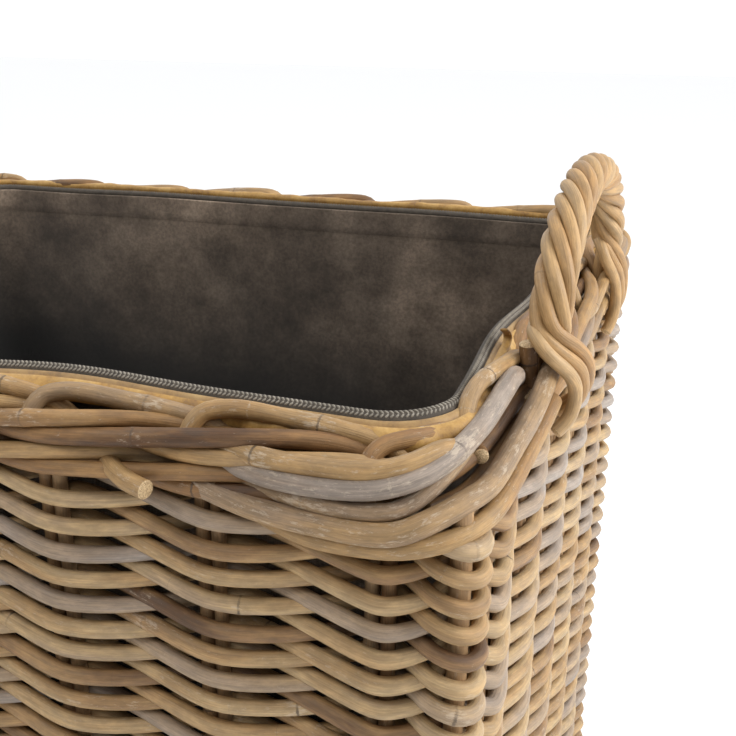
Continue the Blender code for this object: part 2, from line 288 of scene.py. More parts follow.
class Bundle:
    """Collects many rods into one mesh. Each point keeps its rod's tint and wear, a coordinate that
    runs round and along the rod for the grain, the distance to the nearest node, and whether it is
    on a cut end."""

    def __init__(self):
        self.points = []
        self.faces = []
        self.layers = {"tint": [], "grain": [], "node": [], "cut": [], "wear": []}
        self.total = 0

    def add(self, points, faces, **layers):
        """Adds points and their faces. Each layer has one value for all the points or one for each."""
        for title, values in layers.items():
            if np.ndim(values) == 0:
                values = np.full(len(points), values)
            self.layers[title].append(values)
        self.points.append(points)
        self.faces += [tuple(self.total + v for v in face) for face in faces]
        self.total += len(points)

    def rod(self, points, radius, tint, sides=10, reference=None, flatten=1.0, node_gap=170, bumps=1.0,
            nodes=None, wear=None):
        """A round rod along the points. tint and flatten may be one value or one for each point.
        nodes are distances along the rod; without them they come at random, about node_gap apart."""
        count = len(points)
        seed = chance.random()
        wear = chance.uniform(0.0, 0.7) if wear is None else wear
        along = lengths_along(points)
        if nodes is None:
            nodes = []
            place = chance.uniform(0.2, 1.0) * node_gap
            while place < along[-1]:
                nodes.append(place)
                place += node_gap * chance.uniform(0.7, 1.3)
        signed = np.full(count, NODE_REACH)
        for place in nodes:
            near = along - place
            signed = np.where(np.abs(near) < np.abs(signed), near, signed)
        signed = np.clip(signed, -NODE_REACH, NODE_REACH)
        swelling = 0.22 * np.exp(-((signed / 2.6) ** 2)) + 0.10 * np.exp(-((signed / 9.0) ** 2))
        width = radius * (1 + 0.035 * bumps * smooth_noise(count, 9, seed)) + swelling * bumps
        width_up = width * flatten
        side, up = frames(points, reference)
        turn = chance.uniform(0, 2 * math.pi)
        offset = chance.uniform(0, 4000)
        angles = np.arange(sides) * 2 * math.pi / sides
        ring_side = np.cos(angles)[None, :, None] * side[:, None, :] * width[:, None, None]
        ring_up = np.sin(angles)[None, :, None] * up[:, None, :] * width_up[:, None, None]
        wrinkle = 1 + 0.02 * bumps * np.sin(angles * 3 + turn)[None, :, None]
        surface = points[:, None, :] + (ring_side + ring_up) * wrinkle
        grain = np.empty((count, sides, 3))
        grain[:, :, 0] = radius * np.cos(angles + turn)[None, :]
        grain[:, :, 1] = radius * np.sin(angles + turn)[None, :]
        grain[:, :, 2] = (along + offset)[:, None]
        tints = np.broadcast_to(np.asarray(tint, dtype=float), (count,))
        self.add(surface.reshape(-1, 3), ring_faces(count, sides), tint=np.repeat(tints, sides),
                 grain=grain.reshape(-1, 3), node=np.repeat(signed, sides), cut=0.0, wear=wear)
        self.cap(surface[0], points[0], points[0] - points[1], tints[0], grain[0], wear, 1)
        self.cap(surface[-1], points[-1], points[-1] - points[-2], tints[-1], grain[-1], wear, -1)

    def cap(self, ring, middle, direction, tint, grain, wear, order):
        """The rounded cut end of a rod. order is 1 at its first end and -1 at its last."""
        sides = len(ring)
        direction = direction / np.linalg.norm(direction)
        inner = middle + (ring - middle) * CAP_SHARE + direction * CAP_EDGE
        points = np.vstack((ring, inner, middle + direction * CAP_TIP))
        faces = []
        for j in range(sides):
            k = (j + 1) % sides
            faces.append((k, j, sides + j, sides + k)[::order])
            faces.append((sides + k, sides + j, 2 * sides)[::order])
        end_grain = np.zeros((len(points), 3))
        end_grain[:, :2] = np.vstack((grain[:, :2], grain[:, :2] * CAP_SHARE, [[0, 0]]))
        end_grain[:, 2] = grain[0, 2]
        self.add(points, faces, tint=tint, grain=end_grain, node=NODE_REACH, cut=1.0, wear=wear)

    def build(self, name, material, slot, replaces):
        layers = {title: np.concatenate(values) for title, values in self.layers.items()}
        make_piece(name, np.vstack(self.points), self.faces, material, replaces, layers)


def make_piece(name, points, faces, material, replaces, layers=None):
    """Puts a smooth mesh, with points in millimetres, on the basket's body, where it stands for the CAD
    nodes it replaces. layers holds values or vectors at the points for its material."""
    mesh = bpy.data.meshes.new(name)
    mesh.from_pydata((np.asarray(points) * MM).tolist(), [], faces)
    for title, values in (layers or {}).items():
        kind, field = ("FLOAT", "value") if values.ndim == 1 else ("FLOAT_VECTOR", "vector")
        layer = mesh.attributes.new(title, kind, "POINT")
        layer.data.foreach_set(field, values.astype(np.float32).ravel())
    mesh.shade_smooth()
    mesh.materials.append(material)
    piece = bpy.data.objects.new(name, mesh)
    bpy.context.scene.collection.objects.link(piece)
    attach(piece, "root")
    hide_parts(*replaces)
    return piece


def thicken(piece, thickness, offset):
    solid = piece.modifiers.new("thickness", "SOLIDIFY")
    solid.thickness = thickness * MM
    solid.offset = offset


# ---- materials

class Shading:
    """A small helper for building one material's nodes."""

    def __init__(self, name):
        self.material = bpy.data.materials.new(name)
        self.material.use_nodes = True
        self.tree = self.material.node_tree
        self.shader = self.tree.nodes["Principled BSDF"]

    def node(self, kind, inputs=None, **settings):
        made = self.tree.nodes.new(kind)
        for key, value in settings.items():
            setattr(made, key, value)
        for key, value in (inputs or {}).items():
            self.feed(made.inputs[key], value)
        return made

    def feed(self, socket, value):
        if isinstance(value, bpy.types.NodeSocket):
            self.tree.links.new(value, socket)
        else:
            socket.default_value = value

    def attribute(self, title, vector=False):
        made = self.node("ShaderNodeAttribute", attribute_name=title)
        return made.outputs["Vector" if vector else "Fac"]

    def scaled(self, vector, scale):
        made = self.node("ShaderNodeMapping", {"Vector": vector, "Scale": scale})
        return made.outputs["Vector"]

    def noise(self, vector, scale=1.0, detail=3.0, rough=0.55):
        inputs = {"Vector": vector, "Scale": scale, "Detail": detail, "Roughness": rough}
        return self.node("ShaderNodeTexNoise", inputs).outputs["Fac"]

    def math(self, operation, a, b=0.0, clamp=False):
        made = self.node("ShaderNodeMath", {0: a, 1: b}, operation=operation, use_clamp=clamp)
        return made.outputs[0]

    def plus(self, a, b, clamp=False):
        return self.math("ADD", a, b, clamp)

    def times(self, a, b):
        return self.math("MULTIPLY", a, b)

    def band(self, value, low, high, out_low=0.0, out_high=1.0):
        """value between low and high becomes out_low to out_high, smoothly."""
        inputs = {"Value": value, "From Min": low, "From Max": high, "To Min": out_low, "To Max": out_high}
        made = self.node("ShaderNodeMapRange", inputs, interpolation_type="SMOOTHSTEP")
        return made.outputs["Result"]

    def ramp(self, value, stops):
        made = self.node("ShaderNodeValToRGB", {"Fac": value})
        elements = made.color_ramp.elements
        while len(elements) < len(stops):
            elements.new(0.5)
        for element, (position, colour) in zip(elements, stops):
            element.position = position
            element.color = (*colour, 1.0)
        return made.outputs["Color"]

    def mix(self, share, a, b, blend="MIX"):
        made = self.node("ShaderNodeMix", data_type="RGBA", blend_type=blend)
        for index, value in ((0, share), (6, a), (7, b)):
            if not isinstance(value, bpy.types.NodeSocket) and index > 0:
                value = (*value, 1.0)
            self.feed(made.inputs[index], value)
        return made.outputs[2]

    def shaded(self, colour, level):
        """The colour made darker or lighter, where a level of 1 leaves it as it is."""
        grey = self.node("ShaderNodeCombineColor", {0: level, 1: level, 2: level}).outputs[0]
        return self.mix(1.0, colour, grey, "MULTIPLY")

    def finish(self, colour, roughness, height, bump_distance, strength=1.0, **others):
        """Feeds the shader. others are more of its sockets, with _ for each space in their names."""
        self.feed(self.shader.inputs["Base Color"], colour)
        self.feed(self.shader.inputs["Roughness"], roughness)
        inputs = {"Height": height, "Distance": bump_distance, "Strength": strength}
        bump = self.node("ShaderNodeBump", inputs)
        self.feed(self.shader.inputs["Normal"], bump.outputs["Normal"])
        for title, value in others.items():
            self.feed(self.shader.inputs[title.replace("_", " ")], value)
        return self.material


def rattan(name, stops, scuffs=1.0, shine=0.45, node_dark=1.0):
    """Rattan cane: a colour of its own for each rod, patches and fibres along it, pale scuffs,
    dark rings at the nodes and pithy cut ends."""
    look = Shading(name)
    grain = look.attribute("grain", vector=True)
    tint = look.attribute("tint")
    node = look.attribute("node")
    cut = look.attribute("cut")
    wear = look.attribute("wear")
    patch = look.noise(look.scaled(grain, (0.10, 0.10, 0.018)), detail=4)
    blotch = look.noise(look.scaled(grain, (0.30, 0.30, 0.09)), detail=5, rough=0.65)
    fibre = look.noise(look.scaled(grain, (1.9, 1.9, 0.035)), detail=3, rough=0.6)
    speck = look.noise(look.scaled(grain, (1.5, 1.5, 0.9)), detail=4, rough=0.7)
    place = look.plus(tint, look.band(patch, 0.30, 0.70, -0.13, 0.13), clamp=True)
    dull = look.band(blotch, 0.35, 0.70, 0.76, 1.12)
    lines = look.band(fibre, 0.30, 0.72, 0.82, 1.08)
    colour = look.shaded(look.ramp(place, stops), look.times(dull, lines))
    # Pale scuffs lie in streaks, and more of them beside the nodes.
    distance = look.math("ABSOLUTE", node)
    beside = look.band(distance, 1.0, 16.0, 0.09, 0.0)
    worn = look.plus(beside, look.band(wear, 0.0, 1.0, -0.05, 0.07))
    streaks = look.noise(look.scaled(grain, (0.55, 0.55, 0.16)), detail=6, rough=0.75)
    scuff = look.band(look.plus(streaks, worn), 0.60, 0.72, 0.0, 0.55 * scuffs)
    colour = look.mix(scuff, colour, (0.58, 0.48, 0.37))
    dirt = look.band(speck, 0.66, 0.74, 0.0, 0.55)
    colour = look.mix(dirt, colour, (0.13, 0.085, 0.05))
    wobble = look.times(look.math("SUBTRACT", speck, 0.5), 1.4)
    ring_distance = look.math("ABSOLUTE", look.plus(node, wobble))
    faint = look.band(patch, 0.40, 0.62, 0.25, 1.0)
    ring = look.times(look.band(ring_distance, 0.2, 0.75, 0.80 * node_dark, 0.0), faint)
    colour = look.mix(ring, colour, (0.05, 0.035, 0.025))
    pith = look.ramp(look.noise(look.scaled(grain, (2.2, 2.2, 0.3)), detail=3), [
        (0.35, (0.30, 0.19, 0.09)),
        (0.65, (0.70, 0.52, 0.30)),
    ])
    colour = look.mix(cut, colour, pith)
    rough_noise = look.band(blotch, 0.3, 0.7, shine, shine + 0.22)
    roughness = look.plus(rough_noise, look.times(scuff, 0.3))
    relief = look.plus(fibre, look.times(speck, 0.5))
    relief = look.math("SUBTRACT", relief, look.times(ring, 1.2))
    relief = look.plus(relief, look.times(scuff, 0.6))
    return look.finish(colour, roughness, relief, 0.00035, 0.7, Specular_IOR_Level=0.42)


WEAVE_COLOURS = [
    (0.00, (0.117, 0.060, 0.027)),
    (0.14, (0.279, 0.162, 0.073)),
    (0.30, (0.405, 0.255, 0.116)),
    (0.46, (0.468, 0.327, 0.170)),
    (0.60, (0.396, 0.280, 0.170)),
    (0.80, (0.320, 0.245, 0.184)),
    (1.00, (0.360, 0.308, 0.267)),
]
BORDER_COLOURS = [
    (0.00, (0.098, 0.046, 0.018)),
    (0.14, (0.230, 0.120, 0.046)),
    (0.30, (0.328, 0.185, 0.071)),
    (0.46, (0.394, 0.245, 0.104)),
    (0.60, (0.328, 0.211, 0.106)),
    (0.80, (0.271, 0.190, 0.126)),
    (1.00, (0.303, 0.245, 0.200)),
]
STAKE_COLOURS = [
    (0.0, (0.261, 0.146, 0.066)),
    (0.5, (0.369, 0.225, 0.108)),
    (1.0, (0.423, 0.284, 0.158)),
]
HANDLE_COLOURS = [
    (0.0, (0.396, 0.225, 0.090)),
    (0.5, (0.460, 0.284, 0.123)),
    (1.0, (0.501, 0.335, 0.169)),
]


def canvas_material():
    look = Shading("dark_canvas")
    cloth = look.attribute("cloth", vector=True)
    where = look.node("ShaderNodeTexCoord").outputs["Object"]
    threads = {"Vector": cloth, "Scale": 0.42, "Distortion": 0.6, "Detail": 1.0}
    warp = look.node("ShaderNodeTexWave", threads, wave_type="BANDS", bands_direction="X")
    weft = look.node("ShaderNodeTexWave", threads, wave_type="BANDS", bands_direction="Y")
    weave = look.times(warp.outputs["Fac"], weft.outputs["Fac"])
    mottle = look.noise(where, scale=26, detail=5, rough=0.62)
    fine = look.noise(where, scale=420, detail=3, rough=0.7)
    cloudy = look.noise(where, scale=7, detail=3)
    colour = look.ramp(mottle, [
        (0.34, (0.072, 0.052, 0.037)),
        (0.50, (0.136, 0.101, 0.073)),
        (0.66, (0.225, 0.172, 0.128)),
    ])
    level = look.band(cloudy, 0.36, 0.64, 0.62, 1.3)
    level = look.times(level, look.band(fine, 0.3, 0.7, 0.75, 1.2))
    level = look.times(level, look.band(weave, 0.0, 1.0, 0.86, 1.15))
    # Painted shade and light: the cloth is darkened towards its floor, nearly to black low down, and
    # lightened towards its top and to the right, where the light falls.
    place = look.node("ShaderNodeSeparateXYZ", {"Vector": where})
    painted_light_and_shade_place = look.plus(place.outputs["Z"], look.times(place.outputs["X"], 0.12))
    level = look.times(level, look.band(painted_light_and_shade_place, 0.245, 0.385, 0.04, 1.6))
    colour = look.shaded(colour, level)
    relief = look.plus(weave, look.times(fine, 0.8))
    return look.finish(colour, 0.86, relief, 0.0004, 0.6, Sheen_Weight=0.25, Sheen_Roughness=0.6,
                       Specular_IOR_Level=0.2)


def cloth_material(name, stops, scale, roughness=0.8, sheen=0.2, bump=0.0004):
    """A plain fibrous or leathery stuff mottled between two or three colours."""
    look = Shading(name)
    where = look.node("ShaderNodeTexCoord").outputs["Object"]
    mottle = look.noise(where, scale=scale, detail=5, rough=0.65)
    fine = look.noise(where, scale=scale * 9, detail=3, rough=0.7)
    blend = look.plus(look.times(mottle, 0.7), look.times(fine, 0.3))
    colour = look.ramp(blend, stops)
    rough = look.band(fine, 0.3, 0.7, roughness - 0.1, roughness + 0.08)
    return look.finish(colour, rough, blend, bump, 0.7, Sheen_Weight=sheen)


def wood_material():
    look = Shading("plain_wood")
    where = look.node("ShaderNodeTexCoord").outputs["Object"]
    rings = look.noise(look.scaled(where, (6, 90, 90)), detail=4, rough=0.6)
    fine = look.noise(look.scaled(where, (60, 900, 900)), detail=2)
    colour = look.ramp(rings, [(0.3, (0.34, 0.22, 0.12)), (0.7, (0.56, 0.40, 0.24))])
    relief = look.plus(rings, look.times(fine, 0.4))
    return look.finish(colour, look.band(fine, 0.3, 0.7, 0.55, 0.75), relief, 0.0004, 0.6)


# ---- weave

def tint_track(places, period, hidden):
    """One tint for each length of rod. places are stake numbers counted so that the rod is behind a
    stake at every number that leaves hidden over when divided by period; new rods are laid in there."""
    low, high = places[0], places[-1]
    step = low + (hidden - low) % period + period * chance.randint(0, 2)
    breaks = []
    while step < high:
        breaks.append(step)
        step += period * chance.randint(2, 5)
    tints = [pick_tint() for _ in range(len(breaks) + 1)]
    return np.array(tints)[np.searchsorted(breaks, places)]


def pick_tint():
    """Mostly tan and straw, with grey and brown rods among them."""
    roll = chance.random()
    if roll < 0.62:
        return chance.uniform(0.18, 0.55)
    if roll < 0.88:
        return chance.uniform(0.55, 0.85)
    return chance.choice((chance.uniform(0.05, 0.18), chance.uniform(0.85, 0.97)))


def twine_height(t):
    """Height of a weaver in row pitches: level over its float, up behind the next stake, and down again."""
    t = np.mod(t, 2)
    peak = 1.05
    rising = (np.minimum(t, peak) / peak) ** 2.8
    falling = 1 - (np.maximum(t - peak, 0) / (2 - peak)) ** 1.3
    return 0.93 * np.where(t < peak, rising, falling)


def weave_piece(number, rows, material, replaces):
    """Rows of twined weavers as one piece, two rods to a row. Each rod begins behind a stake."""
    bundle = Bundle()
    spacing = 4.0 * STAKE_COUNT / WALL_LENGTH
    index = np.append(np.arange(0, STAKE_COUNT, spacing), STAKE_COUNT)
    count = len(index)
    for row in rows:
        base = TOP_ROW - ROW_PITCH * row
        for weaver in (0, 1):
            start = chance.choice(WEAVER_STARTS) + weaver
            numbers = index + start
            t = numbers + weaver
            wave = np.cos(math.pi * (t - CROSSING_LAG))
            depth = WEAVE_DEPTH * np.arcsin(0.86 * wave) / math.asin(0.86)
            depth = depth + 0.5 * smooth_noise(count, 14, chance.random())
            height = base + ROW_PITCH * twine_height(t)
            height = height + 0.7 * smooth_noise(count, 17, chance.random())
            points = on_wall(station(numbers), depth, height)
            points = blur(points, 1.1)
            squash = 1 - 0.10 * np.exp(-((np.abs(wave) / 0.5) ** 2))
            radius = WEAVER_RADIUS * chance.uniform(0.94, 1.05)
            bundle.rod(points, radius, tint_track(t, 2, 1), sides=10,
                       reference=(0, 0, 1), flatten=squash, node_gap=300)
    bundle.build(f"weave_rows_{number:02d}", material, "rattan_weave", replaces)


def build_weave(material):
    pieces = math.ceil(ROW_COUNT / ROWS_PER_PIECE)
    for number in range(pieces):
        rows = range(number * ROWS_PER_PIECE, min(ROW_COUNT, (number + 1) * ROWS_PER_PIECE))
        upper = number < pieces / 2
        weave_piece(number + 1, rows, material, ["upper_weave" if upper else "lower_weave"])


def wale_track(t, lift):
    """Depth and height of a three-rod wale: in front of two stakes, then behind one."""
    t = np.mod(t, 3)
    knots = [0.0, 0.5, 1.0, 1.3, 1.5, 1.75, 2.0, 2.3, 2.5, 2.75, 3.0]
    depths = [1.0, 1.0, 1.0, 0.60, 0.05, -0.7, -1.0, -0.75, -0.35, 0.45, 1.0]
    heights = [-0.55, -0.1, 0.55, 0.75, 0.8, 0.55, 0.15, -0.15, -0.4, -0.65, -0.55]
    return WALE_DEPTH * np.interp(t, knots, depths), lift * np.interp(t, knots, heights)


def wale_rods(bundle, height, lift, radius, skip=None):
    """Three rods of one waling row. skip is a range of stake numbers left out for the hand-laid
    corner, beside which the rods dive inwards and down."""
    first, last = (0, STAKE_COUNT) if skip is None else (skip[1], STAKE_COUNT + skip[0])
    index = np.arange(first, last, 0.068)
    count = len(index)
    for rod in range(3):
        depth, rise = wale_track(index + rod, lift)
        if skip is not None:
            near = np.minimum(index - first, last - index)
            share = ease(np.clip(near / WALE_ENDING, 0, 1))
            depth = depth * share - (1 - share) * WALE_END_DEPTH
            rise = rise - (1 - share) * WALE_END_DROP
        depth = depth + 0.5 * smooth_noise(count, 16, chance.random())
        rise = rise + 0.6 * smooth_noise(count, 19, chance.random())
        points = blur(on_wall(station(index), depth, height + rise), 1.6)
        size = radius * chance.uniform(0.96, 1.06)
        bundle.rod(points, size, tint_track(index + rod, 3, 2), sides=12,
                   reference=(0, 0, 1), node_gap=260)


def build_waling(material):
    bundle = Bundle()
    for height in WALE_ROWS:
        wale_rods(bundle, height, WALE_LIFT, WALE_RADIUS, skip=OPEN_CORNER)
    bundle.build("waling_rods", material, "rattan_weave", ["waling_band"])


def build_foot(material):
    """The foot: one waling row outside and three plain rods inside it."""
    bundle = Bundle()
    wale_rods(bundle, 7.4, 5.0, WALE_RADIUS)
    index = np.arange(0, STAKE_COUNT, 0.1)
    for depth, height in ((-9.0, 4.0), (-15.5, 4.6), (-12.0, 9.6)):
        points = on_wall(station(index), depth, height + 0.4 * smooth_noise(len(index), 12, depth))
        bundle.rod(points, 3.5, tint_track(index, 1, 0), sides=10, reference=(0, 0, 1))
    bundle.build("foot_border_rods", material, "rattan_weave", ["foot_ring"])


def build_stakes(material):
    """Upright stakes, two side by side at each place along the walls and a thicker one at each corner."""
    bundle = Bundle()
    names = []
    count = 90
    for i in range(STAKE_COUNT):
        corner = i in CORNER_STAKES
        radius = CORNER_STAKE_RADIUS if corner else STAKE_RADIUS
        top = RIM - LOW_STAKE_DROPS.get(i, STAKE_DROP)
        heights = np.linspace(STAKE_FOOT, top, count)
        for offset in (0.0,) if corner else (-PAIR_HALF_SPACING, PAIR_HALF_SPACING):
            along = STAKES[i] + offset + 0.5 * smooth_noise(count, 9, chance.random())
            depth = 0.5 * smooth_noise(count, 9, chance.random())
            points = on_wall(along, depth, heights)
            bundle.rod(points, radius, chance.uniform(0.1, 0.95), sides=10,
                       reference=(1, 0.3, 0), node_gap=150, bumps=1.6)
    for side, pairs in (("front", LONG_SIDE_PAIRS), ("back", LONG_SIDE_PAIRS),
                        ("left", SHORT_SIDE_PAIRS), ("right", SHORT_SIDE_PAIRS)):
        names += [f"stake_pair_{side}_{k + 1}" for k in range(pairs)]
    names += [f"corner_stake_{place}" for place in ("back_right", "back_left", "front_left", "front_right")]
    bundle.build("upright_stakes", material, "rattan_stake", names)


# ---- border

def wall_curve(places, spacing=3.0):
    """A smooth curve through places given as (distance along the wall, depth, height over the rim)."""
    along, depth, height = (np.array(column, dtype=float) for column in zip(*places))
    dense = through(np.stack((along, depth * 4, height * 4), axis=1), 2.0)
    return resample(on_wall(dense[:, 0], dense[:, 1] / 4, RIM + dense[:, 2] / 4), spacing)


def arch(bundle, i, lift):
    """A stake's end: up from the weave, bent over inwards, along the rim and under the next one.
    lift is how much higher it lies than the plainest one."""
    begin = STAKES[i]
    reach = station(i + 1) - begin
    stretch = max(reach, 50.0)
    rise = lift + chance.uniform(-1.0, 1.2)
    places = [
        (begin - 9.0, 1.5, -24),
        (begin - 8.5, 0.8, -14),
        (begin - 6.5, -2.0, -7.0 + 0.5 * rise),
        (begin - 2.0, -5.5, -2.2 + rise),
        (begin + 10.0, -7.8, -0.8 + rise),
        (begin + 0.42 * stretch, -8.0, -2.2 + rise),
        (begin + 0.78 * stretch, -8.0, -5.0 + 0.9 * rise),
        (begin + 0.98 * stretch, -8.2, -9.3 + 0.5 * rise),
        (begin + 1.15 * stretch, -8.6, -18.0),
    ]
    points = wall_curve(places)
    tint = pick_tint()
    bundle.rod(points, ARCH_RADIUS * chance.uniform(0.93, 1.07), tint, sides=14,
               nodes=[lengths_along(points)[-1] * chance.uniform(0.48, 0.66)])


def corner_rods(bundle):
    """The hand-laid rods at the front right corner, each through its own places in the basket's frame:
    tint, radius, places and how far along it its nodes are."""
    rods = (
        # The golden stake end that bends over the corner, with its dark ring.
        (0.45, 3.6, [(231.8, -172, 380), (232, -170, 388), (231.8, -167, 393.5), (231.3, -160, 397.8),
            (231.5, -150, 399.8), (232.6, -140, 400.4), (234, -128, 399.8),
            (235.3, -108, 397.6), (236, -92, 395), (236, -78, 388)], [46]),
        # The last front stake end, tan with a ring.
        (0.26, 3.6, [(205, -207, 372), (204.5, -206.5, 381.5), (205.5, -203, 388.2), (209.5, -198, 391.6),
            (218, -190, 392.4), (226, -178, 391.4), (230.5, -166, 388), (231.5, -154, 382)], [48]),
        # Straw rod above the silver one.
        (0.42, 4.0, [(96, -190, 382), (118, -194, 385), (142, -203, 386.5), (165, -210, 385.5),
            (190, -212, 385.5), (208, -211, 386), (221, -206, 388.5), (230, -196, 391),
            (234, -187, 389)], [70]),
        # Thick silver rod that rises round the corner to the handle.
        (1.00, 4.3, [(98, -190, 379), (122, -194, 380), (146, -204, 380), (168, -211.5, 379),
            (190, -214, 379), (210, -213, 380.5), (225, -206.5, 384.5), (234, -193, 389),
            (238.6, -172, 392), (240.4, -150, 394.8), (240.4, -125, 395.6), (239, -108, 392),
            (236, -94, 384)], [152]),
        # Pinkish rod that bends up behind it.
        (0.74, 3.6, [(112, -190, 374), (136, -195, 374), (160, -206, 373), (185, -212.5, 371.5),
            (206, -213.5, 371), (219, -210, 372.5), (228, -201, 378), (233, -188, 383),
            (235, -170, 386)], [75]),
        # Thick beige rod, scuffed at the corner, that ends behind the handle.
        (0.66, 4.6, [(76, -189, 371), (100, -193, 372), (128, -203, 370), (162, -213, 366),
            (195, -216, 364.2), (212, -216, 364), (221, -214, 365.3), (230.2, -209, 369),
            (240.6, -196.5, 373), (246, -181, 374.4), (249, -152, 379.4), (250.5, -130, 382.8),
            (251.2, -112, 386), (251, -92, 389.5), (248, -76, 386), (243, -62, 378)], []),
        # Honey rod below it, with a ragged end by the handle.
        (0.36, 4.0, [(118, -189, 361), (142, -193, 361), (163, -205, 360), (184, -213, 358),
            (203, -214.5, 357.5), (222, -213, 358.5), (238, -204, 361), (247, -187, 364),
            (250, -160, 367), (252.5, -130, 373), (254, -112, 377.5), (254.5, -101, 380)], []),
        # A tan stake end beside the tape, under the handle's foot.
        (0.22, 3.6, [(233, -78, 385), (231.8, -68, 392.5), (231, -54, 396), (231.5, -36, 396.5),
            (233, -20, 394), (235, -4, 387)], []),
        # Brown rods deep in the corner and the dark cut end of a stake by the handle.
        (0.05, 3.6, [(216, -202, 378), (228, -192, 378), (235, -172, 379), (238, -150, 380),
            (240, -120, 382), (241, -90, 383), (241, -50, 387), (240.5, 0, 389), (241, 60, 389),
            (240, 90, 384)], []),
        (0.12, 3.5, [(226, -197, 367), (236, -180, 369), (241, -150, 372), (244, -120, 376)], []),
        (0.02, 3.8, [(242.6, -95, 374), (242.6, -95.5, 385), (242.4, -96.5, 395), (242.2, -98, 403.5)], [21]),
        # Two short cut ends that stick out of the weave.
        (0.44, 3.9, [(88, -194, 374.5), (96, -203, 373.5), (103, -210, 372.4), (112, -216, 371.2),
            (121.5, -219.5, 370.3)], []),
        (0.08, 3.0, [(232, -150, 376), (236, -161, 378.5), (239.5, -172, 380.5)], []),
    )
    for tint, radius, places, nodes in rods:
        points = through(places, 3.0)
        bundle.rod(points, radius, tint, sides=16, nodes=nodes, wear=min(1.0, tint + 0.3))


def border_side(i):
    """The side of the rim along which stake i is laid: a corner's stake goes round to the next."""
    right, back, left, front = CORNER_STAKES
    if i < right or i == front:
        return "front"
    if i < back:
        return "right"
    return "back" if i < left else "left"


def build_border(material):
    near, far = Bundle(), Bundle()
    for i in range(STAKE_COUNT):
        if i in HAND_LAID_STAKES:
            continue
        side = border_side(i)
        arch(near if side in ("front", "right") else far, i, BORDER_LIFT[side])
    corner_rods(near)
    near.build("border_rods_front_right", material, "rattan_border", ["border_front", "border_right"])
    far.build("border_rods_back_left", material, "rattan_border", ["border_back", "border_left"])


# ---- handles

def handle_line():
    """Middle line of the right-hand handle's arch, from front to back."""
    rise = HANDLE_TOP - HANDLE_SPRING - HANDLE_LEG
    angles = np.linspace(0, math.pi, 90)
    height = np.sin(angles)
    x = HALF_LENGTH - HANDLE_INSET + HANDLE_LEAN_OUT * height * height
    y = -HANDLE_HALF_SPAN * np.cos(angles)
    z = HANDLE_SPRING + HANDLE_LEG + rise * height
    return np.stack((x, y, z), axis=1)


# Places of the strands' feet from the end of the rope, in order round the rope.
FEET_OUTSIDE = (
    ((-5.0, -9.0, 4.0), (1.5, -13.0, -3.0), (8.5, -9.0, -10.0), (12.6, -2.5, -18.0), (12.8, -0.8, -27.0),
     (11.0, -2.5, -35.0), (6.0, -7.0, -40.0)),
    ((-1.0, -9.5, 3.0), (6.5, -7.0, -4.0), (13.0, 1.0, -11.5), (14.4, 8.0, -20.0), (13.0, 11.0, -30.0),
     (4.0, 13.0, -38.0)),
    ((6.0, -6.0, 3.0), (11.5, 1.5, -3.0), (15.4, 11.0, -11.5), (15.4, 18.0, -21.0), (13.0, 21.5, -30.0),
     (4.0, 23.0, -38.0)),
)
FEET_INSIDE = (
    ((3.0, 6.0, -4.0), (-1.0, 5.0, -16.0), (-4.0, 4.0, -34.0)),
    ((-2.0, 7.0, -4.0), (-5.0, 8.0, -16.0), (-8.0, 8.0, -34.0)),
    ((-6.0, 3.0, -4.0), (-8.0, 0.0, -16.0), (-9.0, -2.0, -34.0)),
)


def foot_places(angle, centre, reach):
    """Where a strand goes below the rope: the three on the near side cross over the border and down
    outside, the other three go down inside the wall. angle is the strand's place round the rope, and
    reach scales how far out it goes."""
    turn = math.degrees(angle) % 360
    order = int(((turn - 160) % 360) // 60)
    chosen = FEET_OUTSIDE[order] if order < 3 else FEET_INSIDE[order - 3]
    return [centre + np.array(place) * reach for place in chosen]


def build_handle(name, side, material, replaces):
    """Six strands twisted into a rope over the handle's arch, with their feet fanned out below it.
    side is 1 for the right-hand handle and -1 for the left, which is the right one turned half round."""
    bundle = Bundle()
    line = handle_line()
    along = lengths_along(line)
    tangents = np.gradient(line, axis=0)
    tangents /= np.linalg.norm(tangents, axis=1)[:, None]
    across = np.array((1.0, 0.0, 0.0))
    normals = np.cross(tangents, across)
    normals /= np.linalg.norm(normals, axis=1)[:, None]
    sides = np.cross(normals, tangents)
    for strand in range(STRANDS):
        start = math.radians(190 + 360 * strand / STRANDS)
        angles = start - 2 * math.pi * along / ROPE_TURN
        helix = line + ROPE_RADIUS * (np.cos(angles)[:, None] * sides + np.sin(angles)[:, None] * normals)
        front = foot_places(start, line[0], (1.0, 1.0, 1.0))
        back = foot_places(-angles[-1], line[-1], (0.55, 1.0, 1.2))
        points = np.vstack((front[::-1], helix[2:-2:3], back))
        points = blur(through(points, 2.6), 1.5)
        if side < 0:
            points = points * np.array((-1.0, -1.0, 1.0))
        bundle.rod(points, STRAND_RADIUS * chance.uniform(0.97, 1.03), chance.uniform(0.1, 0.9), sides=16,
                   node_gap=330, bumps=0.5)
    bundle.build(name, material, "handle_rattan", replaces)


# ---- liner and its edging

def rim_outline(inset, corner, spacing):
    """A rounded rectangle at an inset from the rim, anticlockwise, as points and outward directions."""
    points, normals = rounded_rectangle(HALF_LENGTH - inset, HALF_WIDTH - inset, corner, 8)
    points = np.vstack((points, points[:1]))
    normals = np.vstack((normals, normals[:1]))
    along = lengths_along(points)
    count = int(along[-1] / spacing)
    wanted = np.linspace(0, along[-1], count, endpoint=False)
    mixed = [np.interp(wanted, along, column) for column in (*points.T, *normals.T)]
    size = np.hypot(mixed[2], mixed[3])
    return wanted, np.stack(mixed[:2], axis=1), np.stack((mixed[2] / size, mixed[3] / size), axis=1)


